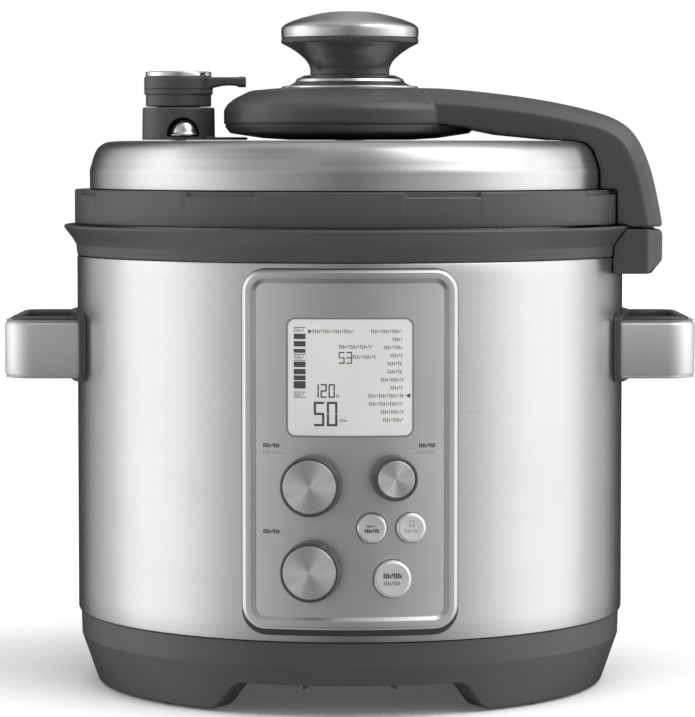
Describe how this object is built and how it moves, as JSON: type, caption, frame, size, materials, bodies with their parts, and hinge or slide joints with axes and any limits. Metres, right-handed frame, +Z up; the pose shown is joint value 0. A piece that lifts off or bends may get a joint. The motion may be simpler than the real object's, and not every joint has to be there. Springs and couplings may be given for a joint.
{
  "type": "electric pressure cooker",
  "caption": "Round electric pressure cooker with a hinged lid on a swept arm, turning lock knob, steam valve, side handles and a curved control panel.",
  "frame": {"origin": "centre of the plane that the foot pads rest on, on the pot's axis", "axes": "+Z up, -Y to the control panel's side, +X to the lid hinge"},
  "size_m": [0.3524, 0.306, 0.3433],
  "materials": {
    "brushed_steel": "brushed",
    "pot_steel": "satin",
    "satin_metal": "satin",
    "dark_plastic": "fine texture",
    "black_plastic": "matt",
    "rubber": "matt",
    "silicone": "satin",
    "display": "glossy",
    "circuit_board": "solder mask",
    "cast_aluminium": "cast",
    "bright_metal": "polished",
    "spring_steel": "drawn"
  },
  "bodies": {
    "housing": {"base_shell": "dark_plastic", "bottom_cover": "black_plastic", "foot_pad_1": "rubber", "foot_pad_2": "rubber", "foot_pad_3": "rubber", "foot_pad_4": "rubber", "outer_wrap": "brushed_steel", "top_collar": "dark_plastic", "handle_band_left": "satin_metal", "handle_band_right": "satin_metal", "handle_core_left": "dark_plastic", "handle_core_right": "dark_plastic", "panel_bezel": "satin_metal", "panel_face": "satin_metal", "lcd_window": "display", "lcd_module": "display", "display_board": "circuit_board", "power_board": "circuit_board", "power_inlet": "black_plastic", "outer_pot": "cast_aluminium", "inner_pot": "pot_steel", "heating_plate": "cast_aluminium", "sensor_spring": "spring_steel", "hinge_block": "dark_plastic", "hinge_pin": "spring_steel"},
    "lid": {"lid_skirt": "dark_plastic", "lid_cover": "brushed_steel", "lid_liner": "black_plastic", "inner_lid": "pot_steel", "sealing_gasket": "silicone", "arm_top": "dark_plastic", "arm_bottom": "dark_plastic", "hub_ring": "bright_metal", "hinge_knuckle": "cast_aluminium", "valve_base": "dark_plastic", "steam_spout": "bright_metal", "steam_pipe": "bright_metal", "steam_filter": "bright_metal"},
    "lock": {"knob_cap": "brushed_steel", "knob_body": "dark_plastic", "knob_shaft": "pot_steel", "shaft_circlip": "spring_steel", "inner_lid_nut": "bright_metal", "lock_ring": "pot_steel"},
    "steam_valve": {"valve_head": "dark_plastic", "valve_cap": "bright_metal"},
    "float_valve": {"float_pin": "bright_metal", "float_seal": "silicone"},
    "temp_control": {"temp_dial": "dark_plastic", "temp_dial_face": "brushed_steel"},
    "time_control": {"time_dial": "dark_plastic", "time_dial_face": "brushed_steel"},
    "select_control": {"select_dial": "dark_plastic", "select_dial_face": "brushed_steel"},
    "warm_key": {"warm_button": "satin_metal"},
    "steam_key": {"steam_button": "satin_metal"},
    "stop_key": {"stop_button": "satin_metal"},
    "sensor": {"sensor_plunger": "cast_aluminium"}
  },
  "joints": [
    {"name": "lid_hinge", "type": "hinge", "parent": "housing", "child": "lid", "pos_m": [0.153, 0, 0.2295], "axis": [0, 1, 0], "range_deg": [0, 85]},
    {"name": "lid_lock", "type": "hinge", "parent": "lid", "child": "lock", "pos_m": [0, 0, 0.304], "axis": [0, 0, 1], "range_deg": [0, 22.5]},
    {"name": "steam_release", "type": "hinge", "parent": "lid", "child": "steam_valve", "pos_m": [-0.088, 0, 0.3], "axis": [0, 0, 1], "range_deg": [0, 60]},
    {"name": "float_rise", "type": "slide", "parent": "lid", "child": "float_valve", "axis": [0, 0, 1], "range_m": [0, 0.004]},
    {"name": "sensor_press", "type": "slide", "parent": "housing", "child": "sensor", "axis": [0, 0, -1], "range_m": [0, 0.003], "stiffness_N_per_m": 600, "springref_m": -0.002, "deforming": ["sensor_spring"]},
    {"name": "temp_turn", "type": "hinge", "parent": "housing", "child": "temp_control", "pos_m": [-0.0175, -0.1389, 0.1136], "axis": [-0.125, -0.9922, 0], "continuous": true},
    {"name": "time_turn", "type": "hinge", "parent": "housing", "child": "time_control", "pos_m": [-0.0175, -0.1389, 0.0729], "axis": [-0.125, -0.9922, 0], "continuous": true},
    {"name": "select_turn", "type": "hinge", "parent": "housing", "child": "select_control", "pos_m": [0.0199, -0.13858, 0.1173], "axis": [0.1421, -0.9898, 0], "continuous": true},
    {"name": "warm_press", "type": "slide", "parent": "housing", "child": "warm_key", "axis": [-0.0729, 0.9973, 0], "range_m": [0, 0.0015], "stiffness_N_per_m": 400, "springref_m": -0.001},
    {"name": "steam_press", "type": "slide", "parent": "housing", "child": "steam_key", "axis": [-0.2029, 0.9792, 0], "range_m": [0, 0.0015], "stiffness_N_per_m": 400, "springref_m": -0.001},
    {"name": "stop_press", "type": "slide", "parent": "housing", "child": "stop_key", "axis": [-0.1414, 0.9899, 0], "range_m": [0, 0.0015], "stiffness_N_per_m": 400, "springref_m": -0.001}
  ]
}
